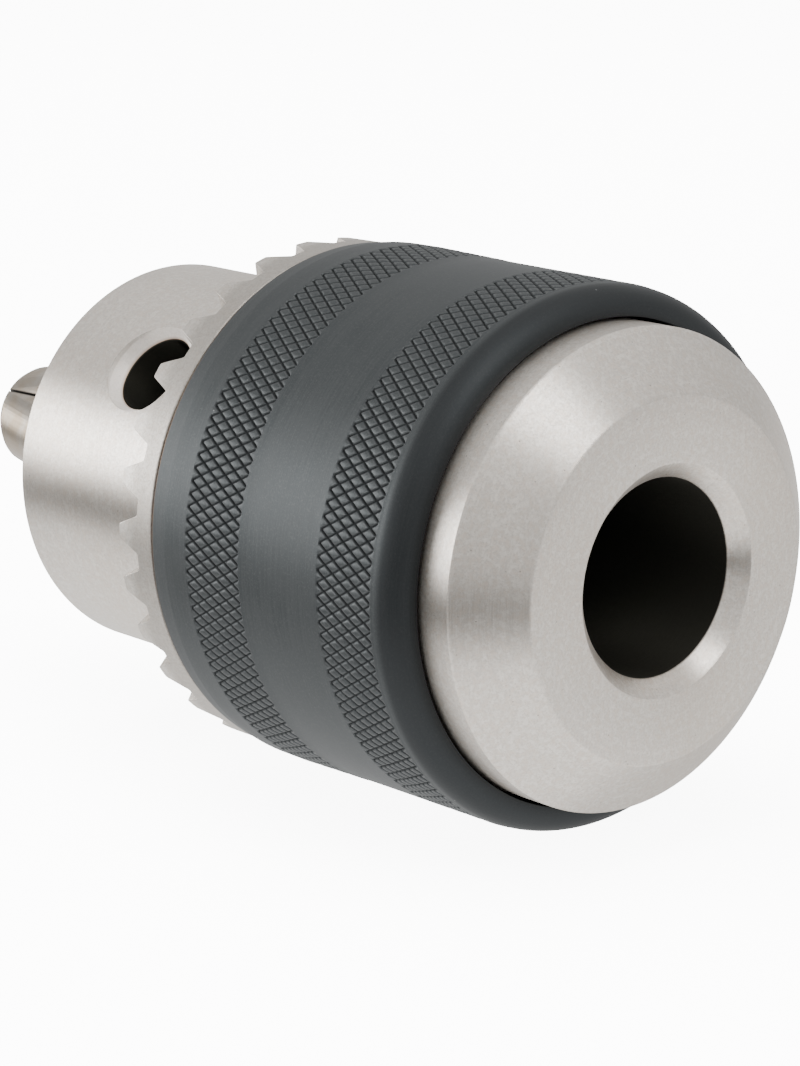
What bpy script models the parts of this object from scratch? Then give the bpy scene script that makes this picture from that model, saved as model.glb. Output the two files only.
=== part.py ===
"""Keyed drill chuck, 10 mm capacity, short taper mount.

Frame: metres, +Z up. The chuck axis lies along X. The origin is the centre of
the rear face, at the mouth of the taper socket; the jaws point along -X.
Stations along the axis are written s, in millimetres forward of the rear face
(x = -s), and clock angles run from +Y towards +Z.
"""

import math

import bmesh
import bpy
from mathutils import Matrix, Vector

MM = 0.001

# ---- driving dimensions, in millimetres and degrees ------------------------
SOCKET_MOUTH_R = 7.866        # short taper B16, 15.733 mm at the gauge plane
SOCKET_GAUGE_S = 1.38
SOCKET_DEPTH = 25.5
SOCKET_SLOPE = 0.02497        # radius lost per mm of depth
SOCKET_CHAMFER_R = 9.16

REAR_FLAT_R = 14.50
REAR_CONE_S = 4.03
BODY_R = 19.16
SHOULDER_S = 25.2             # thrust shoulder for the rear race
NECK_R = 16.95
NECK_END_S = 30.8
NOSE_REAR_S = 39.10
NOSE_FRONT_S = 61.27
NOSE_R = 16.88
SHANK_BORE_R = 6.20
SHANK_BORE_END_S = 29.5

KEY_HOLE_S = 48.80
KEY_HOLE_R = 4.40
KEY_HOLE_INNER_R = 3.60
KEY_HOLE_STEP = 1.3
KEY_HOLE_FLOOR_R = 8.60
KEY_HOLE_CLOCK = 138.0        # the others follow at 120 degree steps

JAW_ANGLE = 12.0              # slope of each jaw bore to the chuck axis
JAW_R = 4.10
JAW_BORE_R = 4.27
JAW_APEX_S = 84.40            # where the jaw axes meet the chuck axis
JAW_TIP_S = 82.80
JAW_REAR_S = 33.50            # jaw axis station of its rear end, jaws closed
JAW_BORE_END_S = 9.60
JAW_CLOCK = KEY_HOLE_CLOCK + 60.0
JAW_FACE_GAP = 0.08           # each gripping edge stops short of the axis
THREAD_PITCH = 2.0
THREAD_DEPTH = 0.75
THREAD_COUNT = 14

SLEEVE_REAR_S = 7.06
SLEEVE_LIP_R = 19.45
SLEEVE_BORE_R = 20.35
SLEEVE_R = 22.05
REAR_KNURL_R = 21.90
BEAD_R = 21.80
BAND_R = 21.86
SLEEVE_FRONT_S, SLEEVE_FRONT_R = 36.60, 21.70
REAR_KNURL = (9.62, 15.92)
FRONT_KNURL = (25.20, 31.80)
CHAMFER_S = 34.60

NUT_REAR_S, NUT_STEP_S, NUT_FRONT_S = 31.00, 34.00, 38.80
NUT_FLANGE_R, NUT_R = 20.10, 18.00
NUT_SPLIT_GAP = 0.15
NUT_CREST_CLEARANCE = 0.25

GEAR_TEETH = 30
GEAR_R = 21.60
GEAR_HEAD_S = 36.90
GEAR_SPIGOT_S, GEAR_SPIGOT_R = 34.30, 20.10
GEAR_BORE_R = 18.25
GEAR_WEB_S, GEAR_WEB_R = 39.10, 17.15
TOOTH_TIP_OUT, TOOTH_ROOT_OUT = 41.00, 38.70
TOOTH_TIP_IN, TOOTH_ROOT_IN = 42.20, 40.45

RACE_IN_R, RACE_OUT_R = 17.25, 20.10
REAR_RACE = (25.45, 27.05)
FRONT_RACE = (28.95, 30.75)
BALL_COUNT = 20
BALL_R = 1.00
BALL_CIRCLE_R = 18.70
BALL_S = 28.00
CAGE = (27.60, 28.40)
CAGE_IN_R, CAGE_OUT_R = 17.30, 20.05

SEG = 60


def point(s, r, clock):
    """Station, radius and clock angle in degrees to metres."""
    a = math.radians(clock)
    return Vector((-s * MM, r * math.cos(a) * MM, r * math.sin(a) * MM))


def jaw_radius(s):
    """Distance of a jaw's outermost line from the chuck axis at station s."""
    slope = math.radians(JAW_ANGLE)
    return (JAW_APEX_S - s) * math.tan(slope) + JAW_R / math.cos(slope)


# ---- start from an empty scene ---------------------------------------------
for old in list(bpy.data.objects):
    bpy.data.objects.remove(old, do_unlink=True)
collection = bpy.context.scene.collection


def material(name, colour, roughness, metallic):
    mat = bpy.data.materials.new(name)
    mat.use_nodes = True
    shader = mat.node_tree.nodes["Principled BSDF"]
    shader.inputs["Base Color"].default_value = (*colour, 1.0)
    shader.inputs["Roughness"].default_value = roughness
    shader.inputs["Metallic"].default_value = metallic
    mat.diffuse_color = (*colour, 1.0)
    return mat


BODY_STEEL = material("turned_steel", (0.62, 0.60, 0.57), 0.34, 1.0)
BLACKENED = material("blackened_steel", (0.065, 0.075, 0.08), 0.38, 1.0)
GEAR_STEEL = material("gear_steel", (0.56, 0.54, 0.51), 0.40, 1.0)
JAW_STEEL = material("ground_jaw_steel", (0.50, 0.46, 0.41), 0.25, 1.0)
NUT_STEEL = material("nut_steel", (0.35, 0.34, 0.33), 0.45, 1.0)
RACE_STEEL = material("race_steel", (0.60, 0.60, 0.60), 0.22, 1.0)
BALL_STEEL = material("ball_steel", (0.72, 0.72, 0.72), 0.10, 1.0)
CAGE_BRASS = material("cage_brass", (0.60, 0.44, 0.20), 0.35, 1.0)


def finish(bm, name, mat, at=(0, 0, 0), helper=False):
    bmesh.ops.recalc_face_normals(bm, faces=bm.faces)
    at = Vector(at)
    bmesh.ops.translate(bm, verts=bm.verts, vec=-at)
    mesh = bpy.data.meshes.new(name)
    bm.to_mesh(mesh)
    bm.free()
    obj = bpy.data.objects.new(name, mesh)
    obj.location = at
    collection.objects.link(obj)
    if helper:
        obj.hide_render = True
        obj.display_type = "WIRE"
    else:
        mesh.materials.append(mat)
        mesh.shade_smooth()
        mesh.set_sharp_from_angle(angle=math.radians(28))
    return obj


def lathe(profile, segments=SEG, start=0.0, sweep=360.0):
    """Turn a closed (s, r) outline about the chuck axis; r = 0 makes a pole."""
    bm = bmesh.new()
    full = abs(sweep - 360.0) < 1e-9
    count = segments if full else segments + 1
    columns = []
    poles = {}
    for j in range(count):
        clock = start + sweep * j / segments
        column = []
        for i, (s, r) in enumerate(profile):
            if r < 1e-9:
                if i not in poles:
                    poles[i] = bm.verts.new(point(s, 0, 0))
                column.append(poles[i])
            else:
                column.append(bm.verts.new(point(s, r, clock)))
        columns.append(column)
    n = len(profile)
    for j in range(segments):
        left, right = columns[j], columns[(j + 1) % count]
        for i in range(n):
            k = (i + 1) % n
            corners = []
            for v in (left[i], left[k], right[k], right[i]):
                if v not in corners:
                    corners.append(v)
            if len(corners) >= 3:
                bm.faces.new(corners)
    if not full:
        bm.faces.new(columns[0])
        bm.faces.new(list(reversed(columns[-1])))
    return bm


def column_along(axis_start, direction, stations, segments):
    """A turned solid with poles at both ends: stations are (distance, radius)."""
    direction = Vector(direction).normalized()
    side = direction.orthogonal().normalized()
    if abs(direction.x) < 0.999:
        side = direction.cross(Vector((1, 0, 0))).normalized()
    other = direction.cross(side)
    bm = bmesh.new()
    rings = []
    for distance, radius in stations:
        centre = Vector(axis_start) + direction * distance * MM
        rings.append([
            bm.verts.new(centre + (side * math.cos(t) + other * math.sin(t)) * radius * MM)
            for t in (2 * math.pi * (j + 0.5) / segments for j in range(segments))
        ])
    for a, b in zip(rings, rings[1:]):
        for j in range(segments):
            k = (j + 1) % segments
            bm.faces.new((a[j], a[k], b[k], b[j]))
    bm.faces.new(rings[0])
    bm.faces.new(list(reversed(rings[-1])))
    return bm


def boolean(obj, cutter, operation="DIFFERENCE"):
    mod = obj.modifiers.new(operation.lower() + "_" + cutter.name, "BOOLEAN")
    mod.operation = operation
    mod.solver = "EXACT"
    mod.object = cutter


def arc(centre, radii, first, last, count):
    """Points on an ellipse in (s, r), angles in degrees from +s towards +r."""
    return [
        (
            centre[0] + radii[0] * math.cos(math.radians(first + (last - first) * i / count)),
            centre[1] + radii[1] * math.sin(math.radians(first + (last - first) * i / count)),
        )
        for i in range(count + 1)
    ]


# ---- chuck body --------------------------------------------------------------
socket_floor_r = SOCKET_MOUTH_R - (SOCKET_DEPTH - SOCKET_GAUGE_S) * SOCKET_SLOPE
body_profile = [
    (SOCKET_DEPTH, 0.0),
    (SOCKET_DEPTH, socket_floor_r),
    (SOCKET_GAUGE_S, SOCKET_MOUTH_R),
    (0.0, SOCKET_CHAMFER_R),
    (0.0, REAR_FLAT_R),
    (REAR_CONE_S, BODY_R),
    (SHOULDER_S, BODY_R),
    (SHOULDER_S, NECK_R),
    (NECK_END_S, NECK_R),
    (NECK_END_S, jaw_radius(NECK_END_S) - 0.60),
    (NOSE_REAR_S, jaw_radius(NOSE_REAR_S) - 0.60),
    (NOSE_REAR_S, NOSE_R),
    (NOSE_FRONT_S - 0.25, NOSE_R),
    (NOSE_FRONT_S, NOSE_R - 0.25),
    (NOSE_FRONT_S, SHANK_BORE_R + 0.60),
    (NOSE_FRONT_S - 0.60, SHANK_BORE_R),
    (SHANK_BORE_END_S, SHANK_BORE_R),
    (SHANK_BORE_END_S, 0.0),
]
chuck_body = finish(lathe(body_profile), "chuck_body", BODY_STEEL)

jaw_slope = math.radians(JAW_ANGLE)


def jaw_axis_point(s, clock):
    return point(s, (JAW_APEX_S - s) * math.tan(jaw_slope), clock)


def jaw_direction(clock):
    """Along the jaw's bore, from the rear end towards the tip."""
    a = math.radians(clock)
    inward = Vector((0, -math.cos(a), -math.sin(a)))
    return (Vector((-1, 0, 0)) * math.cos(jaw_slope) + inward * math.sin(jaw_slope)).normalized()


for n in range(3):
    clock = JAW_CLOCK + 120.0 * n
    length = (NOSE_FRONT_S + 6.0 - JAW_BORE_END_S) / math.cos(jaw_slope)
    bore = finish(
        column_along(
            jaw_axis_point(JAW_BORE_END_S, clock), jaw_direction(clock),
            [(0.0, JAW_BORE_R), (length, JAW_BORE_R)], 20,
        ),
        f"jaw_bore_cutter_{n + 1}", None, helper=True,
    )
    boolean(chuck_body, bore)
    clock = KEY_HOLE_CLOCK + 120.0 * n
    outward = point(0, 1, clock).normalized()
    hole = finish(
        column_along(
            point(KEY_HOLE_S, KEY_HOLE_FLOOR_R, clock), outward,
            [
                (0.0, KEY_HOLE_INNER_R),
                (NOSE_R - KEY_HOLE_STEP - KEY_HOLE_FLOOR_R, KEY_HOLE_INNER_R),
                (NOSE_R - 0.50 - KEY_HOLE_FLOOR_R, KEY_HOLE_R - 0.05),
                (NOSE_R + 0.80 - KEY_HOLE_FLOOR_R, KEY_HOLE_R + 0.05),
            ], 24,
        ),
        f"key_hole_cutter_{n + 1}", None, helper=True,
    )
    boolean(chuck_body, hole)

# ---- knurled sleeve ------------------------------------------------------------
sleeve_profile = [(SLEEVE_REAR_S, SLEEVE_LIP_R)]
sleeve_profile += arc((9.50, 19.75), (9.50 - SLEEVE_REAR_S, BEAD_R - 19.75), 180, 90, 6)
sleeve_profile += [
    (REAR_KNURL[0], REAR_KNURL_R),
    (REAR_KNURL[1], REAR_KNURL_R),
    (REAR_KNURL[1] + 0.15, BAND_R),
    (FRONT_KNURL[0] - 0.10, BAND_R),
    (FRONT_KNURL[0], SLEEVE_R),
    (FRONT_KNURL[1], SLEEVE_R),
    (CHAMFER_S, SLEEVE_R - 0.05),
    (SLEEVE_FRONT_S - 0.15, SLEEVE_FRONT_R),
    (SLEEVE_FRONT_S, SLEEVE_FRONT_R - 0.15),
    (SLEEVE_FRONT_S, SLEEVE_BORE_R),
    (8.00, SLEEVE_BORE_R),
    (8.00, SLEEVE_LIP_R),
]
sleeve = finish(lathe(sleeve_profile), "knurled_sleeve", BLACKENED)

# ---- toothed ring ----------------------------------------------------------------
# The bevel teeth stand on the front face; each has a flat crest and straight flanks with broken corners.
TOOTH_STEPS = (
    (-0.365, 0.0), (-0.325, 0.09), (-0.155, 0.91), (-0.115, 1.0),
    (0.115, 1.0), (0.155, 0.91), (0.325, 0.09), (0.365, 0.0),
)


def gear_mesh():
    bm = bmesh.new()
    columns = []
    pitch = 360.0 / GEAR_TEETH
    for tooth in range(GEAR_TEETH):
        for offset, height in TOOTH_STEPS:
            clock = (tooth + offset) * pitch
            out_s = TOOTH_ROOT_OUT + (TOOTH_TIP_OUT - TOOTH_ROOT_OUT) * height
            in_s = TOOTH_ROOT_IN + (TOOTH_TIP_IN - TOOTH_ROOT_IN) * height
            loop = [
                (GEAR_SPIGOT_S, GEAR_BORE_R),
                (GEAR_SPIGOT_S, GEAR_SPIGOT_R),
                (GEAR_HEAD_S, GEAR_SPIGOT_R),
                (GEAR_HEAD_S, GEAR_R),
                (out_s, GEAR_R),
                (in_s, GEAR_WEB_R),
                (GEAR_WEB_S, GEAR_WEB_R),
                (GEAR_WEB_S, GEAR_BORE_R),
            ]
            columns.append([bm.verts.new(point(s, r, clock)) for s, r in loop])
    n, count = len(columns[0]), len(columns)
    for j in range(count):
        left, right = columns[j], columns[(j + 1) % count]
        for i in range(n):
            k = (i + 1) % n
            bm.faces.new((left[i], left[k], right[k], right[i]))
    return bm


gear_ring = finish(gear_mesh(), "toothed_ring", GEAR_STEEL)

# ---- split nut ---------------------------------------------------------------------
# The inside follows the jaws' slope and carries the thread as grooves at its pitch.


def nut_profile():
    inner = []
    step = THREAD_PITCH * math.cos(jaw_slope)
    s = NUT_FRONT_S - 0.5
    while s - 1.3 > NUT_REAR_S + 0.3:
        for ds, depth in ((0.0, 0.0), (0.40, 0.8), (0.80, 0.8), (1.20, 0.0)):
            inner.append((s - ds, jaw_radius(s - ds) + NUT_CREST_CLEARANCE + depth))
        s -= step
    return (
        [
            (NUT_REAR_S, jaw_radius(NUT_REAR_S) + NUT_CREST_CLEARANCE),
            (NUT_REAR_S, NUT_FLANGE_R),
            (NUT_STEP_S, NUT_FLANGE_R),
            (NUT_STEP_S, NUT_R),
            (NUT_FRONT_S, NUT_R),
            (NUT_FRONT_S, jaw_radius(NUT_FRONT_S) + NUT_CREST_CLEARANCE),
        ]
        + inner
    )


for n, name in enumerate(("split_nut_upper", "split_nut_lower")):
    clear = math.degrees(NUT_SPLIT_GAP / NUT_R)
    finish(lathe(nut_profile(), 22, 180.0 * n + clear, 180.0 - 2 * clear), name, NUT_STEEL)

# ---- thrust bearing ------------------------------------------------------------------


def race_profile(low, high, grooved_high):
    """A flat washer with a shallow ball track on one face."""
    track = [
        (-0.50, 0.0), (-0.28, 0.08), (0.0, 0.12), (0.28, 0.08), (0.50, 0.0)
    ]
    flat, face, sign = (low, high, -1) if grooved_high else (high, low, 1)
    return [(flat, RACE_IN_R), (face, RACE_IN_R)] + [
        (face + sign * depth, BALL_CIRCLE_R + offset) for offset, depth in track
    ] + [(face, RACE_OUT_R), (flat, RACE_OUT_R)]


finish(lathe(race_profile(*REAR_RACE, True), 40), "thrust_race_rear", RACE_STEEL)
finish(lathe(race_profile(*FRONT_RACE, False), 40), "thrust_race_front", RACE_STEEL)

cage = finish(
    lathe([(CAGE[0], CAGE_IN_R), (CAGE[0], CAGE_OUT_R), (CAGE[1], CAGE_OUT_R), (CAGE[1], CAGE_IN_R)], 54),
    "ball_cage", CAGE_BRASS,
)
pockets = bmesh.new()
for n in range(BALL_COUNT):
    part = column_along(
        point(CAGE[0] - 0.5, BALL_CIRCLE_R, 360.0 * n / BALL_COUNT), (-1, 0, 0),
        [(0.0, BALL_R + 0.10), (2.0, BALL_R + 0.10)], 8,
    )
    piece = bpy.data.meshes.new("pocket")
    part.to_mesh(piece)
    part.free()
    pockets.from_mesh(piece)
    bpy.data.meshes.remove(piece)
boolean(cage, finish(pockets, "ball_pocket_cutter", None, helper=True))

ball_bm = bmesh.new()
bmesh.ops.create_uvsphere(ball_bm, u_segments=8, v_segments=6, radius=BALL_R * MM)
ball_mesh = bpy.data.meshes.new("bearing_ball")
ball_bm.to_mesh(ball_mesh)
ball_bm.free()
ball_mesh.materials.append(BALL_STEEL)
ball_mesh.shade_smooth()
balls = []
for n in range(BALL_COUNT):
    ball = bpy.data.objects.new(f"bearing_ball_{n + 1:02d}", ball_mesh)
    ball.location = point(BALL_S, BALL_CIRCLE_R, 360.0 * n / BALL_COUNT)
    collection.objects.link(ball)
    balls.append(ball)

# ---- jaws --------------------------------------------------------------------------------
tip_r = jaw_radius(JAW_TIP_S)
tip_envelope = [
    (20.0, 0.0), (20.0, 30.0), (60.0, 30.0), (JAW_TIP_S - 1.05, jaw_radius(JAW_TIP_S - 1.05) + 0.05),
    (JAW_TIP_S - 0.65, tip_r - 0.04), (JAW_TIP_S - 0.28, tip_r - 0.42), (JAW_TIP_S - 0.06, tip_r - 0.84),
    (JAW_TIP_S, tip_r - 1.25), (JAW_TIP_S, 0.0),
]
envelope = finish(lathe(tip_envelope, 48), "jaw_tip_envelope", None, helper=True)
jaws = []
for n in range(3):
    clock = JAW_CLOCK + 120.0 * n
    base = jaw_axis_point(JAW_REAR_S, clock)
    direction = jaw_direction(clock)
    length = (JAW_TIP_S + 3.0 - JAW_REAR_S) / math.cos(jaw_slope)
    jaw = finish(
        column_along(
            base, direction,
            [(0.0, JAW_R - 0.4), (0.4, JAW_R), (length, JAW_R)], 20,
        ),
        f"jaw_{n + 1}", JAW_STEEL, at=base,
    )
    # two gripping flats, parallel to the chuck axis and 120 degrees apart
    wedge = bmesh.new()
    apex = JAW_FACE_GAP / math.sin(math.radians(60.0))
    ends = []
    for s in (10.0, 90.0):
        reach = 34.0
        corner = point(s, apex, clock)
        out_a = corner + point(0, reach, clock + 60.0)
        out_b = corner + point(0, reach, clock - 60.0)
        ends.append([wedge.verts.new(v) for v in (corner, out_a, corner + point(0, reach, clock), out_b)])
    for i in range(4):
        k = (i + 1) % 4
        wedge.faces.new((ends[0][i], ends[0][k], ends[1][k], ends[1][i]))
    wedge.faces.new(ends[0])
    wedge.faces.new(list(reversed(ends[1])))
    boolean(jaw, finish(wedge, f"jaw_wedge_{n + 1}", None, helper=True), "INTERSECT")
    boolean(jaw, envelope, "INTERSECT")
    # thread on the outer side, seen as a rack of grooves across the jaw
    a = math.radians(clock)
    outward = Vector((0, math.cos(a), math.sin(a)))
    normal = (outward - direction * outward.dot(direction)).normalized()
    across = direction.cross(normal)
    rack = bmesh.new()
    for i in range(THREAD_COUNT):
        centre = base + direction * (1.6 + THREAD_PITCH * i) * MM
        corners = []
        for side in (-5.0, 5.0):
            for along, up in (
                (-0.22, JAW_R - THREAD_DEPTH), (0.22, JAW_R - THREAD_DEPTH),
                (0.62, JAW_R + 0.40), (-0.62, JAW_R + 0.40),
            ):
                corners.append(rack.verts.new(
                    centre + (direction * along + normal * up + across * side) * MM
                ))
        for i0 in range(4):
            k0 = (i0 + 1) % 4
            rack.faces.new((corners[i0], corners[k0], corners[k0 + 4], corners[i0 + 4]))
        rack.faces.new(corners[:4])
        rack.faces.new(list(reversed(corners[4:])))
    boolean(jaw, finish(rack, f"jaw_thread_cutter_{n + 1}", None, helper=True))
    jaws.append(jaw)

# ---- joints' empties ---------------------------------------------------------------------


def pivot(name, at, children):
    empty = bpy.data.objects.new(name, None)
    empty.location = at
    empty.empty_display_size = 0.01
    collection.objects.link(empty)
    for child in children:
        child.parent = empty
        child.matrix_parent_inverse = Matrix.Translation(-Vector(at))


pivot("sleeve_turn_axis", (0, 0, 0), [
    sleeve, gear_ring, bpy.data.objects["split_nut_upper"],
    bpy.data.objects["split_nut_lower"], bpy.data.objects["thrust_race_front"],
])
pivot("cage_turn_axis", (0, 0, 0), [cage] + balls)
for n, jaw in enumerate(jaws):
    pivot(f"jaw_slide_axis_{n + 1}", jaw_axis_point(JAW_REAR_S, JAW_CLOCK + 120.0 * n), [jaw])
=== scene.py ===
"""Looks of the keyed drill chuck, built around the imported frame."""

import math
import random

import bmesh
import bpy
import numpy as np
from mathutils import Matrix, Vector
from mathutils.geometry import delaunay_2d_cdt


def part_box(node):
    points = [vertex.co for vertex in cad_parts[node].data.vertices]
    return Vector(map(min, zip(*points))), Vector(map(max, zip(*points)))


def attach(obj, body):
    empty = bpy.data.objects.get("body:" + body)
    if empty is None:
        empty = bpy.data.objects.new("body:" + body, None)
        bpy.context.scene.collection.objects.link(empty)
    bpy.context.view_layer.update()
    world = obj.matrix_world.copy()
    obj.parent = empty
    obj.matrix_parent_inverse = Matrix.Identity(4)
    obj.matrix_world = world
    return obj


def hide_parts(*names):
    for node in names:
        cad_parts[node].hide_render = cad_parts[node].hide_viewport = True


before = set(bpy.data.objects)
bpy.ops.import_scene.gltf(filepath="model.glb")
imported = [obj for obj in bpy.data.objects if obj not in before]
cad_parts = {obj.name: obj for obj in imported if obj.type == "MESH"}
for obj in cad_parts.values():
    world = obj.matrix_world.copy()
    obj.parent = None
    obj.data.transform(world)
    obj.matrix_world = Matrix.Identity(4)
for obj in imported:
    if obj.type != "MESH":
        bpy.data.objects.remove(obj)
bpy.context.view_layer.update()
MM = 0.001

# ---- dimensions shared with the frame (mm; s is the station forward of the rear face) ----
KEY_HOLE_S, KEY_HOLE_CLOCK = 48.80, 138.0
NOSE_R, NOSE_FRONT, NOSE_REAR = 16.88, 61.27, 39.10
BODY_R = 19.16
JAW_ANGLE = math.radians(12.0)
JAW_APEX, JAW_TIP, JAW_REAR, JAW_R = 84.40, 82.80, 33.50, 4.10
PITCH = 2.0
JAW_CLOCKS = (198.0, 318.0, 438.0)


def jaw_radius(s):
    return (JAW_APEX - s) * math.tan(JAW_ANGLE) + JAW_R / math.cos(JAW_ANGLE)


def point(s, r, clock):
    a = math.radians(clock)
    return Vector((-s * MM, r * math.cos(a) * MM, r * math.sin(a) * MM))


# =====================================================================================
# materials
# =====================================================================================


class Nodes:
    """Small helper that wires a Principled material."""

    def __init__(self, name, colour=(0.8, 0.8, 0.8)):
        self.mat = bpy.data.materials.new(name)
        self.mat.use_nodes = True
        self.tree = self.mat.node_tree
        self.bsdf = self.tree.nodes["Principled BSDF"]
        self.mat.diffuse_color = (*colour, 1.0)

    def node(self, kind, **values):
        n = self.tree.nodes.new(kind)
        for key, value in values.items():
            setattr(n, key, value)
        return n

    def link(self, a, b):
        self.tree.links.new(a, b)

    def put(self, value, socket):
        if hasattr(value, "is_output"):
            self.link(value, socket)
        elif value is not None:
            socket.default_value = value

    def math(self, op, a, b=None, c=None, clamp=False):
        n = self.node("ShaderNodeMath", operation=op, use_clamp=clamp)
        self.put(a, n.inputs[0])
        self.put(b, n.inputs[1])
        self.put(c, n.inputs[2])
        return n.outputs[0]

    def ramp(self, value, low, high, to_low=0.0, to_high=1.0, smooth=True):
        n = self.node("ShaderNodeMapRange", clamp=True)
        if smooth:
            n.interpolation_type = "SMOOTHSTEP"
        self.put(value, n.inputs[0])
        n.inputs[1].default_value, n.inputs[2].default_value = low, high
        n.inputs[3].default_value, n.inputs[4].default_value = to_low, to_high
        return n.outputs[0]

    def mix(self, factor, a, b, blend="MIX"):
        n = self.node("ShaderNodeMix", data_type="RGBA", blend_type=blend)
        self.put(factor, n.inputs[0])
        self.put(a, n.inputs[6])
        self.put(b, n.inputs[7])
        return n.outputs[2]

    def coords(self):
        """(x, y, z, r, station) in millimetres, fixed to the piece."""
        tc = self.node("ShaderNodeTexCoord")
        scaled = self.node("ShaderNodeVectorMath", operation="SCALE")
        self.link(tc.outputs["Object"], scaled.inputs[0])
        scaled.inputs["Scale"].default_value = 1000.0
        xyz = self.node("ShaderNodeSeparateXYZ")
        self.link(scaled.outputs[0], xyz.inputs[0])
        x, y, z = xyz.outputs
        r = self.math("SQRT", self.math("ADD", self.math("MULTIPLY", y, y), self.math("MULTIPLY", z, z)))
        s = self.math("MULTIPLY", x, -1.0)
        self.vec = scaled.outputs[0]
        return x, y, z, r, s

    def noise(self, vector, scale, detail=2.0, rough=0.5, w=None, dims="3D"):
        n = self.node("ShaderNodeTexNoise", noise_dimensions="4D" if w is not None else dims)
        self.put(vector, n.inputs["Vector"])
        n.inputs["Scale"].default_value = scale
        n.inputs["Detail"].default_value = detail
        n.inputs["Roughness"].default_value = rough
        if w is not None:
            self.put(w, n.inputs["W"])
        return n.outputs["Fac"]

    def combine(self, x, y, z):
        n = self.node("ShaderNodeCombineXYZ")
        for value, socket in zip((x, y, z), n.inputs):
            self.put(value, socket)
        return n.outputs[0]

    def bump(self, height, strength, distance, normal=None):
        n = self.node("ShaderNodeBump")
        n.inputs["Strength"].default_value = strength
        n.inputs["Distance"].default_value = distance
        self.put(height, n.inputs["Height"])
        if normal is not None:
            self.link(normal, n.inputs["Normal"])
        return n.outputs["Normal"]

    def tangent_round_x(self):
        t = self.node("ShaderNodeTangent", direction_type="RADIAL", axis="X")
        return t.outputs[0]


def lathe_marks(m, x, y, z, r, lines, broken=1.6):
    """Noise drawn out round the axis: fine rings that a cutting tool leaves."""
    safe = m.math("MAXIMUM", r, 0.01)
    around = m.combine(
        m.math("MULTIPLY", x, lines),
        m.math("MULTIPLY", m.math("DIVIDE", y, safe), broken),
        m.math("MULTIPLY", m.math("DIVIDE", z, safe), broken),
    )
    return m.noise(around, 1.0, 3.0, 0.6, w=m.math("MULTIPLY", r, lines))


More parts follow.
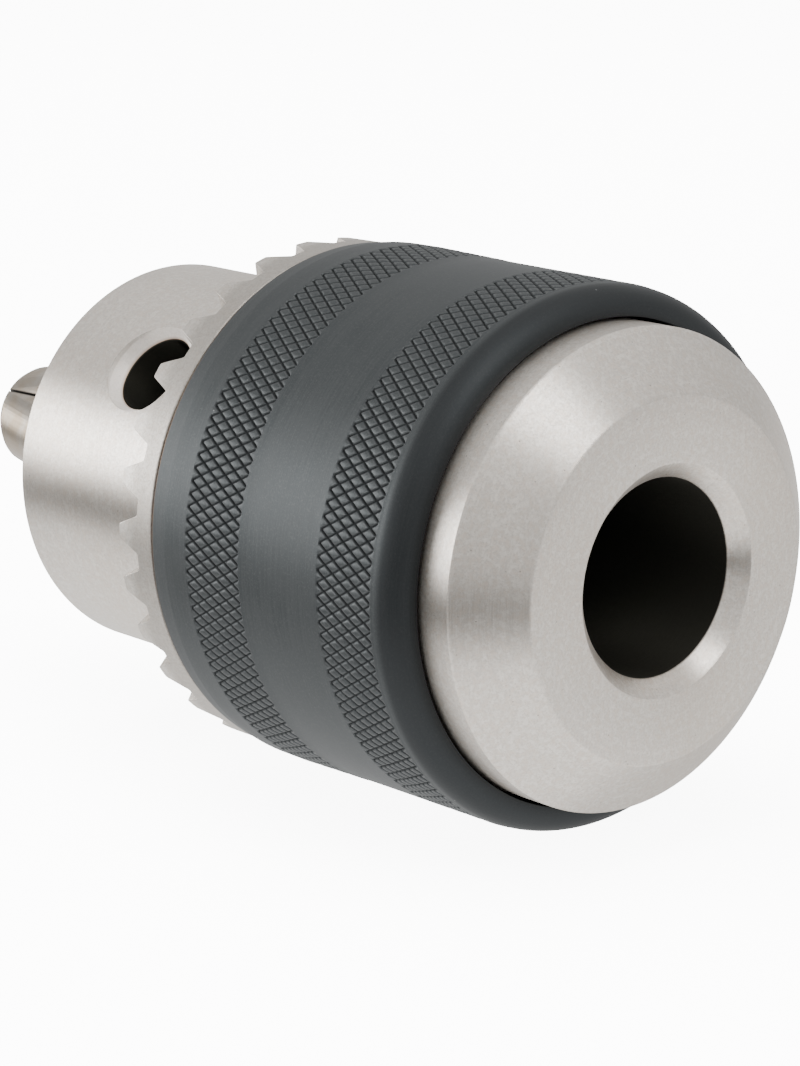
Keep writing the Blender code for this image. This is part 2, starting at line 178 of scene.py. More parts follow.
def turned_steel(name, base, rough, aniso, ring_strength=0.35, tint=(0.86, 0.76, 0.66), stain=0.14, bore=False, pits=1.0, painted_root_shade=False):
    m = Nodes(name, base)
    x, y, z, r, s = m.coords()
    fine = lathe_marks(m, x, y, z, r, 13.0, 5.0)
    coarse = lathe_marks(m, x, y, z, r, 3.6, 1.6)
    cloud = m.noise(m.vec, 0.16, 3.0, 0.55)
    warm = m.noise(m.vec, 0.07, 2.0, 0.5)
    grain = m.noise(m.vec, 5.2, 3.0, 0.7)
    colour = m.mix(m.ramp(fine, 0.30, 0.70, 0.0, 1.0, False), tuple(c * 0.86 for c in base) + (1,), tuple(min(1, c * 1.10) for c in base) + (1,))
    colour = m.mix(m.ramp(coarse, 0.38, 0.62, 0.0, 0.65, False), colour, tuple(c * 0.86 for c in base) + (1,))
    colour = m.mix(m.ramp(grain, 0.44, 0.62, 0.0, 0.9, False), colour, tuple(c * 0.76 for c in base) + (1,))
    # blotches a few tenths of a millimetre across, a touch pink or brown
    mottle = m.noise(m.vec, 2.1, 4.0, 0.65)
    colour = m.mix(m.ramp(mottle, 0.48, 0.60, 0.0, 0.42, False), colour, (base[0] * 0.90, base[1] * 0.82, base[2] * 0.76, 1))
    colour = m.mix(m.ramp(mottle, 0.48, 0.38, 0.0, 0.50, False), colour, tuple(min(1, c * 1.10) for c in base) + (1,))
    stained = m.mix(m.math("MULTIPLY", m.ramp(warm, 0.42, 0.68), stain), colour, tuple(b * t for b, t in zip(base, tint)) + (1,))
    darker = m.mix(m.ramp(cloud, 0.45, 0.75, 0.0, 0.10), stained, tuple(c * 0.70 for c in base) + (1,))
    # scattered pits and specks
    spots = m.node("ShaderNodeTexVoronoi", feature="F1", voronoi_dimensions="3D")
    m.link(m.vec, spots.inputs["Vector"])
    spots.inputs["Scale"].default_value = 1.35
    near = m.ramp(spots.outputs["Distance"], 0.04, 0.12, 1.0, 0.0)
    chosen = m.ramp(m.noise(m.vec, 0.9, 1.0), 0.52, 0.60, 0.0, 1.0)
    pit = m.math("MULTIPLY", m.math("MULTIPLY", near, chosen), 0.60 * pits)
    final = m.mix(pit, darker, (0.16, 0.14, 0.12, 1))
    if painted_root_shade:
        # painted shade: the floors of the gaps between the teeth are darkened where less light reaches them, broken up
        # by the grain
        gap = m.math("ADD", m.ramp(s, 40.6, 38.8, 0.0, 0.60), m.ramp(grain, 0.45, 0.65, -0.08, 0.08, False))
        final = m.mix(m.math("MULTIPLY", gap, m.ramp(s, 41.3, 40.4, 0, 1)), final, (0.27, 0.25, 0.225, 1))
    roughness = m.math("ADD", m.ramp(fine, 0.3, 0.7, rough - 0.03, rough + 0.04, False), m.ramp(grain, 0.35, 0.7, -0.02, 0.04, False))
    aniso_value = aniso
    m.put(1.0, m.bsdf.inputs["Metallic"])
    if bore:
        # painted shade: the taper socket is darkened behind its bright chamfer
        painted_socket_shade = m.math("MULTIPLY", m.ramp(r, 8.35, 8.05, 0, 1), m.math("MULTIPLY", m.ramp(s, 1.32, 1.50, 0, 1), m.ramp(s, 27.5, 26.5, 0, 1)))
        # the radial key holes are bright for the key's pilot; below it their walls are darkened with painted shade,
        # with a brown edge
        painted_hole_shade, mouths, rims = None, None, None
        for n in range(3):
            a = math.radians(KEY_HOLE_CLOCK + 120 * n)
            deep_at = m.math("ADD", m.math("MULTIPLY", y, math.cos(a)), m.math("MULTIPLY", z, math.sin(a)))
            side = m.math("ADD", m.math("MULTIPLY", y, -math.sin(a)), m.math("MULTIPLY", z, math.cos(a)))
            lon = m.math("SUBTRACT", s, KEY_HOLE_S)
            off = m.math("SQRT", m.math("ADD", m.math("MULTIPLY", side, side), m.math("MULTIPLY", lon, lon)))
            inner = m.ramp(off, 3.80, 3.76, 0, 1)
            this = m.math("MULTIPLY", m.math("MULTIPLY", m.ramp(deep_at, 15.60, 15.52, 0, 1), m.ramp(deep_at, 5.0, 6.0, 0, 1)), inner)
            rim = m.math("MULTIPLY", m.math("MULTIPLY", m.ramp(deep_at, 15.78, 15.64, 0, 1), m.ramp(deep_at, 15.50, 15.56, 0, 1)), inner)
            mouth = m.math("MULTIPLY", m.math("MULTIPLY", m.ramp(deep_at, 15.58, 15.62, 0, 1), m.ramp(off, 4.46, 4.44, 0, 1)), m.ramp(r, 16.87, 16.84, 0, 1))
            painted_hole_shade = this if painted_hole_shade is None else m.math("MAXIMUM", painted_hole_shade, this)
            rims = rim if rims is None else m.math("MAXIMUM", rims, rim)
            mouths = mouth if mouths is None else m.math("MAXIMUM", mouths, mouth)
        nose = m.ramp(s, 44.0, 45.0, 0, 1)
        # painted shade in the taper socket and down the key holes
        dark = m.math("MAXIMUM", painted_socket_shade, m.math("MULTIPLY", painted_hole_shade, nose))
        mouths = m.math("MULTIPLY", mouths, nose)
        final = m.mix(m.math("MULTIPLY", m.math("MULTIPLY", rims, nose), 0.7), final, (0.32, 0.19, 0.10, 1))
        final = m.mix(m.math("MULTIPLY", mouths, 0.5), final, (0.72, 0.68, 0.645, 1))
        final = m.mix(dark, final, (0.030, 0.029, 0.024, 1))
        roughness = m.math("ADD", roughness, m.math("MULTIPLY", dark, 0.30))
        roughness = m.math("ADD", roughness, m.math("MULTIPLY", mouths, 0.30))
        m.link(m.math("SUBTRACT", 1.0, m.math("MULTIPLY", mouths, 0.28)), m.bsdf.inputs["Metallic"])
    m.link(final, m.bsdf.inputs["Base Color"])
    m.link(roughness, m.bsdf.inputs["Roughness"])
    m.bsdf.inputs["Anisotropic"].default_value = aniso_value
    m.bsdf.inputs["Anisotropic Rotation"].default_value = 0.25
    m.link(m.tangent_round_x(), m.bsdf.inputs["Tangent"])
    n1 = m.bump(fine, ring_strength, 0.000010)
    n2 = m.bump(coarse, ring_strength * 0.5, 0.000014, n1)
    n3 = m.bump(m.math("SUBTRACT", grain, m.math("MULTIPLY", pit, 1.5)), 0.30, 0.000014, n2)
    m.link(n3, m.bsdf.inputs["Normal"])
    return m.mat


def blackened(name):
    m = Nodes(name, (0.05, 0.055, 0.06))
    x, y, z, r, s = m.coords()
    fine = lathe_marks(m, x, y, z, r, 9.0, 3.0)
    cloud = m.noise(m.vec, 0.20, 4.0, 0.6)
    grain = m.noise(m.vec, 6.0, 3.0, 0.65)
    tone = m.mix(m.ramp(cloud, 0.32, 0.70), (0.055, 0.0605, 0.063, 1), (0.065, 0.0705, 0.073, 1))
    tone = m.mix(m.ramp(fine, 0.40, 0.62, 0.0, 0.50, False), tone, (0.084, 0.089, 0.092, 1))
    tone = m.mix(m.ramp(grain, 0.52, 0.66, 0.0, 0.45, False), tone, (0.095, 0.100, 0.100, 1))
    # painted shade: the bead and the lip behind it, by the gap to the body, are darkened
    tone = m.mix(m.ramp(s, 9.45, 8.6, 0.0, 0.68), tone, (0.026, 0.028, 0.030, 1))
    # knurl: the grooves are darkened with painted shade, and the lips of the diamonds are rubbed brighter
    in_front = m.math("MULTIPLY", m.ramp(s, FRONT_BAND[0] - 0.05, FRONT_BAND[0] + 0.02), m.ramp(s, FRONT_BAND[1] + 0.05, FRONT_BAND[1] - 0.02))
    in_rear = m.math("MULTIPLY", m.ramp(s, REAR_BAND[0] - 0.05, REAR_BAND[0] + 0.02), m.ramp(s, REAR_BAND[1] + 0.05, REAR_BAND[1] - 0.02))
    front_top = m.math("ADD", m.math("MULTIPLY", m.math("SUBTRACT", s, FRONT_BAND[0]), 0.11 / (FRONT_BAND[1] - FRONT_BAND[0])), 21.93)
    below = m.math("ADD", m.math("MULTIPLY", in_front, m.math("SUBTRACT", front_top, r)), m.math("MULTIPLY", in_rear, m.math("SUBTRACT", 21.865, r)))
    groove = m.ramp(below, 0.045, 0.150)
    lip = m.math("MULTIPLY", m.ramp(below, 0.004, 0.030), m.ramp(below, 0.060, 0.040))
    # painted shade in the knurl grooves
    tone = m.mix(m.math("MULTIPLY", groove, 0.42), tone, (0.012, 0.013, 0.014, 1))
    tone = m.mix(m.math("MULTIPLY", lip, m.ramp(m.noise(m.vec, 0.8, 3.0, 0.6), 0.35, 0.70, 0.15, 0.55)), tone, (0.120, 0.125, 0.128, 1))
    # the front edge has lost its black and shows brown over bare metal
    edge = m.math("MULTIPLY", m.ramp(s, 36.30, 36.50), m.ramp(m.noise(m.vec, 0.35, 3.0, 0.6), 0.30, 0.62, 0.30, 0.90))
    tone = m.mix(edge, tone, (0.20, 0.125, 0.075, 1))
    # a few bright nicks
    nick = m.node("ShaderNodeTexVoronoi", feature="F1")
    m.link(m.vec, nick.inputs["Vector"])
    nick.inputs["Scale"].default_value = 0.55
    hits = m.math("MULTIPLY", m.ramp(nick.outputs["Distance"], 0.02, 0.05, 1.0, 0.0), m.ramp(m.noise(m.vec, 0.5, 1.0), 0.55, 0.6))
    tone = m.mix(m.math("MULTIPLY", hits, 0.5), tone, (0.35, 0.36, 0.36, 1))
    m.link(tone, m.bsdf.inputs["Base Color"])
    rough = m.math("ADD", m.ramp(fine, 0.3, 0.7, 0.52, 0.59, False), m.math("MULTIPLY", groove, 0.22))
    rough = m.math("ADD", rough, m.ramp(cloud, 0.3, 0.7, -0.02, 0.03, False))
    m.link(rough, m.bsdf.inputs["Roughness"])
    m.bsdf.inputs["Metallic"].default_value = 1.0
    m.bsdf.inputs["Anisotropic"].default_value = 0.35
    m.bsdf.inputs["Anisotropic Rotation"].default_value = 0.25
    m.link(m.tangent_round_x(), m.bsdf.inputs["Tangent"])
    n1 = m.bump(fine, 0.28, 0.000012)
    n2 = m.bump(grain, 0.30, 0.000014, n1)
    m.link(n2, m.bsdf.inputs["Normal"])
    return m.mat


def ground_jaws(name):
    m = Nodes(name, (0.40, 0.36, 0.31))
    x, y, z, r, s = m.coords()
    # grinding lines run round each jaw, and heat has left straw and bronze patches
    lines = lathe_marks(m, x, y, z, r, 12.0, 3.0)
    patch = m.noise(m.vec, 0.30, 3.0, 0.55)
    grain = m.noise(m.vec, 7.0, 3.0, 0.6)
    colour = m.mix(m.ramp(patch, 0.38, 0.64), (0.330, 0.300, 0.262, 1), (0.255, 0.198, 0.135, 1))
    colour = m.mix(m.ramp(lines, 0.3, 0.7, 0.0, 0.25, False), colour, (0.45, 0.42, 0.375, 1))
    colour = m.mix(m.ramp(grain, 0.55, 0.75, 0.0, 0.25, False), colour, (0.20, 0.165, 0.13, 1))
    # the edge of the tip is straw coloured
    colour = m.mix(m.ramp(s, JAW_TIP - 1.3, JAW_TIP - 0.5, 0.0, 0.45), colour, (0.38, 0.33, 0.22, 1))
    # painted shade along the three parting lines between closed jaws
    painted_seam_shade = None
    for n in range(3):
        a = math.radians(KEY_HOLE_CLOCK + 120 * n)
        out = m.math("ADD", m.math("MULTIPLY", y, math.cos(a)), m.math("MULTIPLY", z, math.sin(a)))
        off = m.math("ABSOLUTE", m.math("ADD", m.math("MULTIPLY", y, -math.sin(a)), m.math("MULTIPLY", z, math.cos(a))))
        this = m.math("MULTIPLY", m.ramp(off, 0.24, 0.10, 0, 1), m.ramp(out, 0.0, 0.2, 0, 1))
        painted_seam_shade = this if painted_seam_shade is None else m.math("MAXIMUM", painted_seam_shade, this)
    colour = m.mix(m.math("MULTIPLY", painted_seam_shade, 0.92), colour, (0.035, 0.030, 0.026, 1))
    # painted shade: the jaws are darkened behind the nose
    colour = m.mix(m.ramp(s, 62.0, 58.0, 0.0, 0.60), colour, (0.14, 0.12, 0.10, 1))
    m.link(colour, m.bsdf.inputs["Base Color"])
    m.link(m.math("ADD", m.ramp(lines, 0.3, 0.7, 0.30, 0.38, False), m.math("MULTIPLY", painted_seam_shade, 0.2)), m.bsdf.inputs["Roughness"])
    m.bsdf.inputs["Metallic"].default_value = 1.0
    m.bsdf.inputs["Anisotropic"].default_value = 0.2
    m.link(m.bump(grain, 0.10, 0.000010, m.bump(lines, 0.16, 0.000008)), m.bsdf.inputs["Normal"])
    return m.mat


def plain_metal(name, base, rough, scale=1.2, aniso=0.2, lines=6.0, round_x=True):
    m = Nodes(name, base)
    x, y, z, r, s = m.coords()
    fine = lathe_marks(m, x, y, z, r, lines, 2.5)
    cloud = m.noise(m.vec, scale * 0.25, 3.0, 0.5)
    grain = m.noise(m.vec, 7.0, 3.0, 0.6)
    colour = m.mix(m.ramp(cloud, 0.35, 0.7), tuple(c * 0.80 for c in base) + (1,), tuple(min(1, c * 1.08) for c in base) + (1,))
    colour = m.mix(m.ramp(fine, 0.3, 0.7, 0.0, 0.25, False), colour, tuple(min(1, c * 1.2) for c in base) + (1,))
    colour = m.mix(m.ramp(grain, 0.5, 0.75, 0.0, 0.25, False), colour, tuple(c * 0.6 for c in base) + (1,))
    m.link(colour, m.bsdf.inputs["Base Color"])
    m.link(m.ramp(fine, 0.3, 0.7, rough - 0.04, rough + 0.08, False), m.bsdf.inputs["Roughness"])
    m.bsdf.inputs["Metallic"].default_value = 1.0
    m.bsdf.inputs["Anisotropic"].default_value = aniso
    m.link(m.bump(grain, 0.08, 0.00001, m.bump(fine, 0.18, 0.000008)), m.bsdf.inputs["Normal"])
    return m.mat


FRONT_BAND, REAR_BAND = (25.20, 31.80), (9.62, 15.92)

STEEL = (0.665, 0.625, 0.575)
M_BODY = turned_steel("turned_body_steel", STEEL, 0.36, 0.70, bore=True)
M_GEAR = turned_steel("machined_ring_steel", (0.585, 0.555, 0.515), 0.46, 0.25, ring_strength=0.22, stain=0.20, pits=0.8, painted_root_shade=True)
M_SLEEVE = blackened("blackened_sleeve_steel")
M_JAW = ground_jaws("ground_jaw_steel")
M_NUT = plain_metal("nut_steel", (0.34, 0.33, 0.32), 0.38)
M_RACE = plain_metal("race_steel", (0.58, 0.58, 0.58), 0.20, lines=12.0)
M_BALL = plain_metal("polished_ball_steel", (0.74, 0.74, 0.74), 0.08, aniso=0.0)
M_CAGE = plain_metal("cage_brass", (0.60, 0.43, 0.19), 0.34)

# =====================================================================================
# meshes
# =====================================================================================


def make_object(name, verts, faces, mat, angle=30.0):
    mesh = bpy.data.meshes.new(name)
    mesh.from_pydata([tuple(v) for v in verts], [], faces)
    mesh.validate()
    mesh.materials.append(mat)
    obj = bpy.data.objects.new(name, mesh)
    bpy.context.scene.collection.objects.link(obj)
    smooth(obj, angle)
    return obj


def smooth(obj, angle=30.0):
    obj.data.shade_smooth()
    obj.data.set_sharp_from_angle(angle=math.radians(angle))


def turned(name, profile, clocks, mat, radius=None, angle=30.0):
    """Turn a closed (s, r) outline about the axis; radius(s, r, clock) may move its points."""
    profile = np.array(profile, float)
    clock = np.radians(np.array(clocks, float))
    count = len(clock)
    n = len(profile)
    s = np.repeat(profile[:, 0][None, :], count, 0)
    r = np.repeat(profile[:, 1][None, :], count, 0)
    if radius is not None:
        s, r = radius(s, r, clock[:, None] + 0 * s)
    verts = np.stack([-s * MM, r * np.cos(clock)[:, None] * MM, r * np.sin(clock)[:, None] * MM], -1).reshape(-1, 3)
    i, j = np.meshgrid(np.arange(n), np.arange(count))
    a = j * n + i
    b = j * n + (i + 1) % n
    c = ((j + 1) % count) * n + (i + 1) % n
    d = ((j + 1) % count) * n + i
    quads = np.stack([a, b, c, d], -1).reshape(-1, 4)
    area = 0.5 * np.sum(profile[:, 0] * np.roll(profile[:, 1], -1) - np.roll(profile[:, 0], -1) * profile[:, 1])
    if area < 0:
        quads = quads[:, ::-1]
    mesh = bpy.data.meshes.new(name)
    mesh.vertices.add(len(verts))
    mesh.vertices.foreach_set("co", verts.astype(np.float32).ravel())
    mesh.loops.add(len(quads) * 4)
    mesh.loops.foreach_set("vertex_index", quads.astype(np.int32).ravel())
    mesh.polygons.add(len(quads))
    mesh.polygons.foreach_set("loop_start", np.arange(0, len(quads) * 4, 4, dtype=np.int32))
    mesh.update(calc_edges=True)
    mesh.validate()
    mesh.materials.append(mat)
    obj = bpy.data.objects.new(name, mesh)
    bpy.context.scene.collection.objects.link(obj)
    smooth(obj, angle)
    return obj


def arc(centre, radii, first, last, count):
    a = np.radians(np.linspace(first, last, count + 1))
    return [(centre[0] + radii[0] * math.cos(t), centre[1] + radii[1] * math.sin(t)) for t in a]


def along(start, end, count):
    """Interior and end points of a straight run, leaving out its start."""
    return [tuple(np.array(start) + (np.array(end) - np.array(start)) * k / count) for k in range(1, count + 1)]


# ---- sleeve, with both knurled bands cut in ---------------------------------------------
KNURL_LINES = 132
ROWS = 7                       # rows of diamond crossings across each band
GROOVE = 0.140                 # half width of a groove, across it
LAND = 0.290                   # where the rounded edge of a groove meets the flat top
DEEP = 0.18
LIP = 0.045                    # how far the land has rolled over by the groove's edge


def knurl_band(ends, radius_ends):
    """One pitch of a knurled band as triangles: (turn in pitches, station, radius)."""
    s0, s1 = ends
    h = (s1 - s0) / ROWS
    circ = 2 * math.pi * 21.95 / KNURL_LINES
    steep = math.cos(math.atan(0.5 * circ / h))        # from along the rim to across a groove

    def across(t, s, sign):
        value = t + sign * (s - s0) / (2 * h)
        return value, abs(value - round(value)) * circ * steep

    verts, edges = [], []

    def line(a, b):
        i = len(verts)
        verts.extend([Vector((a[0] * circ, a[1])), Vector((b[0] * circ, b[1]))])
        edges.append((i, i + 1))

    def clipped(value, sign):
        """The part of a groove line that lies in this pitch."""
        pts = []
        for t in (0.0, 1.0):
            s = s0 + sign * (value - t) * 2 * h
            if s0 <= s <= s1:
                pts.append((t, s))
        for s in (s0, s1):
            t = value - sign * (s - s0) / (2 * h)
            if 0.0 <= t <= 1.0:
                pts.append((t, s))
        pts.sort(key=lambda q: (round(q[1], 6), round(q[0], 6)))
        if len(pts) >= 2 and (abs(pts[0][0] - pts[-1][0]) > 1e-6 or abs(pts[0][1] - pts[-1][1]) > 1e-6):
            line(pts[0], pts[-1])

    for sign in (1, -1):
        for whole in range(-ROWS, ROWS + 2):
            for offset in (0.0, GROOVE, -GROOVE, LAND, -LAND):
                clipped(whole + offset / (circ * steep), sign)
    for s in (s0, s0 + 0.11, s0 + 0.24, s1 - 0.24, s1 - 0.11, s1):
        line((0.0, s), (1.0, s))
    line((0.0, s0), (0.0, s1))
    line((1.0, s0), (1.0, s1))
    for t in (0.25, 0.5, 0.75):
        for s in (s0, s1):
            i = len(verts)
            verts.append(Vector((t * circ, s)))
    coords, _, faces, _, _, _ = delaunay_2d_cdt(verts, edges, [], 0, 1e-5)
    out = []
    for c in coords:
        t, s = c.x / circ, c.y
        fade = min(1.0, max(0.0, (s - s0) / 0.24), max(0.0, (s1 - s) / 0.11))
        depth = 0.0
        both = 0.0
        for sign in (1, -1):
            d = across(t, s, sign)[1]
            if d < GROOVE:
                this = LIP + (DEEP - LIP) * (1 - d / GROOVE)
            elif d < LAND:
                this = LIP * (LAND - d) / (LAND - GROOVE)
            else:
                this = 0.0
            # one of the two knurling wheels bit a little deeper than the other
            this *= 0.84 if sign < 0 else 1.06
            both += this
            depth = max(depth, this)
        # the two tool rows cut a little deeper where they cross
        depth = max(depth, min(both * 0.62, DEEP * 1.15))
        k = (s - s0) / (s1 - s0)
        base = radius_ends[0] + (radius_ends[1] - radius_ends[0]) * k
        out.append((t, s, base - depth * fade))
    return out, [tuple(f) for f in faces]


sleeve_runs = {
    "rear": [(8.00, 19.52), (7.92, 19.45), (7.06, 19.45), (7.02, 19.62)]
    + arc((9.42, 19.80), (9.42 - 7.04, 21.82 - 19.80), 176, 92, 20) + [(9.50, 21.83), (9.62, 21.85)],
    "middle": [(15.92, 21.86), (16.10, 21.865), (17.5, 21.865), (20.5, 21.87), (23.6, 21.88), (25.00, 21.90), (25.20, 21.92)],
    "front": [(31.80, 22.03), (31.95, 22.03), (33.2, 22.02), (34.42, 22.00), (34.56, 21.99), (34.70, 21.965), (35.5, 21.86),
              (36.26, 21.75), (36.42, 21.72), (36.54, 21.65), (36.60, 21.55), (36.60, 20.40), (36.55, 20.35), (22.0, 20.35),
              (8.10, 20.35), (8.00, 20.25), (8.00, 19.52)],
}


def build_sleeve():
    bands = [knurl_band(REAR_BAND, (21.86, 21.87)), knurl_band(FRONT_BAND, (21.93, 22.04))]
    verts, faces = [], []
    index = {}

    def vertex(k, t, s, r):
        turn = (k + t) % KNURL_LINES
        key = (round(turn * 4000) % (KNURL_LINES * 4000), round(s * 20000), round(r * 20000))
        if key not in index:
            index[key] = len(verts)
            verts.append(point(s, r, 360.0 * turn / KNURL_LINES))
        return index[key]

    edge_sets = []
    for (pts, tris), ends in zip(bands, (REAR_BAND, FRONT_BAND)):
        for end in ends:
            edge_sets.append(sorted({round(t, 5) for t, s, r in pts if abs(s - end) < 1e-4}))
        for k in range(KNURL_LINES):
            ids = [vertex(k, t, s, r) for t, s, r in pts]
            for f in tris:
                tri = tuple(ids[i] for i in f)
                if len(set(tri)) == 3:
                    faces.append(tri)
    radius_at = {REAR_BAND[0]: 21.86, REAR_BAND[1]: 21.87, FRONT_BAND[0]: 21.93, FRONT_BAND[1]: 22.04}
    plain_turns = (0.0, 0.25, 0.5, 0.75, 1.0)

    def strip(a, b):
        """Triangles between two rows given as (turns, s, r)."""
        (ta, sa, ra), (tb, sb, rb) = a, b
        for k in range(KNURL_LINES):
            i = j = 0
            while i < len(ta) - 1 or j < len(tb) - 1:
                va, vb = vertex(k, ta[i], sa, ra), vertex(k, tb[j], sb, rb)
                if j == len(tb) - 1 or (i < len(ta) - 1 and ta[i + 1] <= tb[j + 1] + 1e-9):
                    if j < len(tb) - 1 and i < len(ta) - 1 and abs(ta[i + 1] - tb[j + 1]) < 1e-6:
                        faces.append((va, vertex(k, ta[i + 1], sa, ra), vertex(k, tb[j + 1], sb, rb), vb))
                        i += 1
                        j += 1
                        continue
                    faces.append((va, vertex(k, ta[i + 1], sa, ra), vb))
                    i += 1
                else:
                    faces.append((va, vertex(k, tb[j + 1], sb, rb), vb))
                    j += 1

    def run(profile, first=None, last=None):
        rows = [(plain_turns, s, r) for s, r in profile]
        if first is not None:
            rows[0] = (edge_sets[first[0]], first[1], radius_at[first[1]])
        if last is not None:
            rows[-1] = (edge_sets[last[0]], last[1], radius_at[last[1]])
        for a, b in zip(rows, rows[1:]):
            strip(a, b)

    run(sleeve_runs["rear"], last=(0, REAR_BAND[0]))
    run(sleeve_runs["middle"], first=(1, REAR_BAND[1]), last=(2, FRONT_BAND[0]))
    run(sleeve_runs["front"], first=(3, FRONT_BAND[1]))
    bm = bmesh.new()
    made = [bm.verts.new(v) for v in verts]
    for f in faces:
        try:
            bm.faces.new([made[i] for i in f])
        except ValueError:
            pass
    bmesh.ops.remove_doubles(bm, verts=bm.verts, dist=2e-6)
    bmesh.ops.recalc_face_normals(bm, faces=bm.faces)
    print("SLEEVE", len(bm.verts), len(bm.faces), "open edges", sum(1 for e in bm.edges if len(e.link_faces) != 2))
    mesh = bpy.data.meshes.new("knurled_sleeve_skin")
    bm.to_mesh(mesh)
    bm.free()
    mesh.materials.append(M_SLEEVE)
    obj = bpy.data.objects.new("knurled_sleeve_skin", mesh)
    bpy.context.scene.collection.objects.link(obj)
    smooth(obj, 24)
    return obj


sleeve = build_sleeve()
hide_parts("knurled_sleeve")
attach(sleeve, "sleeve")

# ---- toothed ring --------------------------------------------------------------------------
TEETH = 30
# one side of a tooth: (pitches from its middle, height), with small radii at crest and root
FLANK = ((0.0, 1.0), (0.06, 1.0), (0.112, 1.0), (0.126, 0.990), (0.139, 0.962), (0.152, 0.915), (0.20, 0.69), (0.25, 0.455),
         (0.30, 0.22), (0.325, 0.105), (0.338, 0.055), (0.352, 0.018), (0.368, 0.0), (0.43, 0.0), (0.5, 0.0))
FLANK_X, FLANK_H = np.array(FLANK).T


def gear(s, r, clock):
    f = clock * TEETH / (2 * np.pi)
    h = np.interp(np.abs((f + 0.5) % 1.0 - 0.5), FLANK_X, FLANK_H)
    # rows tagged by a station of 200 or more belong to the toothed face
    face = s > 199.9
    k = np.clip((21.60 - r) / (21.60 - 17.15), 0, 1)
    tip = 41.00 + (42.20 - 41.00) * k
    root = 38.70 + (40.45 - 38.70) * k
    return np.where(face, root + (tip - root) * h - (s - 200), s), r


ring_clocks = [(tooth + sign * f) * 360.0 / TEETH for tooth in range(TEETH)
               for sign, f in [(-1, f) for f in FLANK_X[::-1][1:]] + [(1, f) for f in FLANK_X[1:]]]
ring_profile = [(34.30, 18.25), (34.30, 19.95), (34.45, 20.10), (36.80, 20.10), (36.80, 21.50), (36.84, 21.57), (36.90, 21.60), (37.0, 21.60), (37.9, 21.60)]
ring_profile += [(200.14, 21.60), (200.09, 21.60), (200.03, 21.585), (200.0, 21.545), (200.0, 21.46)]
ring_profile += [(200.0, r) for r in (20.8, 20.0, 19.2, 18.4, 17.7, 17.32)]
ring_profile += [(200.0, 17.22), (200.03, 17.17), (200.08, 17.15), (39.10, 17.15), (39.10, 18.25)]
ring = turned("toothed_ring_skin", ring_profile, ring_clocks, M_GEAR, radius=gear, angle=28)
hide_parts("toothed_ring")
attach(ring, "sleeve")

# ---- chuck body ---------------------------------------------------------------------------
body_profile = [
    (25.5, 0.0), (25.5, 7.10), (25.35, 7.267), (1.50, 7.863), (1.38, 7.88), (1.30, 7.93), (0.10, 9.08), (0.02, 9.20),
    (0.0, 9.32), (0.0, 11.8), (0.0, 14.36), (0.03, 14.48), (0.10, 14.60), (3.90, 19.02), (3.99, 19.11), (4.10, 19.16),
    (7.0, 19.16), (25.10, 19.16), (25.20, 19.06), (25.20, 16.95), (30.8, 16.95), (30.8, jaw_radius(30.8) - 0.6),
    (39.10, jaw_radius(39.1) - 0.6), (39.10, 16.70), (39.28, NOSE_R), (45.0, NOSE_R), (54.0, NOSE_R), (61.09, NOSE_R),
    (61.20, 16.85), (61.25, 16.78), (61.27, 16.66), (61.27, 11.5), (61.27, 6.80), (60.67, 6.20), (30.0, 6.20), (29.5, 5.6), (29.5, 0.0),
]


def turned_with_poles(name, profile, count, mat):
    bm = bmesh.new()
    columns, poles = [], {}
    for j in range(count):
        column = []
        for i, (s, r) in enumerate(profile):
            if r < 1e-9:
                if i not in poles:
                    poles[i] = bm.verts.new(point(s, 0, 0))
                column.append(poles[i])
            else:
                column.append(bm.verts.new(point(s, r, 360.0 * j / count)))
        columns.append(column)
    n = len(profile)
    for j in range(count):
        left, right = columns[j], columns[(j + 1) % count]
        for i in range(n):
            k = (i + 1) % n
            corners = []
            for v in (left[i], left[k], right[k], right[i]):
                if v not in corners:
                    corners.append(v)
            if len(corners) >= 3:
                bm.faces.new(corners)
    bmesh.ops.recalc_face_normals(bm, faces=bm.faces)
    mesh = bpy.data.meshes.new(name)
    bm.to_mesh(mesh)
    bm.free()
    mesh.materials.append(mat)
    obj = bpy.data.objects.new(name, mesh)
    bpy.context.scene.collection.objects.link(obj)
    return obj


def column_along(name, start, direction, stations, segments, mat):
    direction = Vector(direction).normalized()
    side = direction.cross(Vector((1, 0, 0))).normalized() if abs(direction.x) < 0.999 else Vector((0, 1, 0))
    other = direction.cross(side)
    bm = bmesh.new()
    rings = []
    for distance, radius in stations:
        centre = Vector(start) + direction * distance * MM
        rings.append([
            bm.verts.new(centre + (side * math.cos(t) + other * math.sin(t)) * radius * MM)
            for t in (2 * math.pi * (j + 0.5) / segments for j in range(segments))
        ])
    for a, b in zip(rings, rings[1:]):
        for j in range(segments):
            k = (j + 1) % segments
            bm.faces.new((a[j], a[k], b[k], b[j]))
    bm.faces.new(rings[0])
    bm.faces.new(list(reversed(rings[-1])))
    bmesh.ops.recalc_face_normals(bm, faces=bm.faces)
    mesh = bpy.data.meshes.new(name)
    bm.to_mesh(mesh)
    bm.free()
    mesh.materials.append(mat)
    obj = bpy.data.objects.new(name, mesh)
    bpy.context.scene.collection.objects.link(obj)
    return obj


def apply_booleans(obj, cutters):
    """cutters: (object, operation). The result is written back and the cutters go."""
    for cutter, operation in cutters:
        mod = obj.modifiers.new("cut", "BOOLEAN")
        mod.operation, mod.solver, mod.object = operation, "EXACT", cutter
    graph = bpy.context.evaluated_depsgraph_get()
    done = bpy.data.meshes.new_from_object(obj.evaluated_get(graph))
    obj.modifiers.clear()
    obj.data = done
    for cutter in {c for c, _ in cutters}:
        bpy.data.objects.remove(cutter, do_unlink=True)


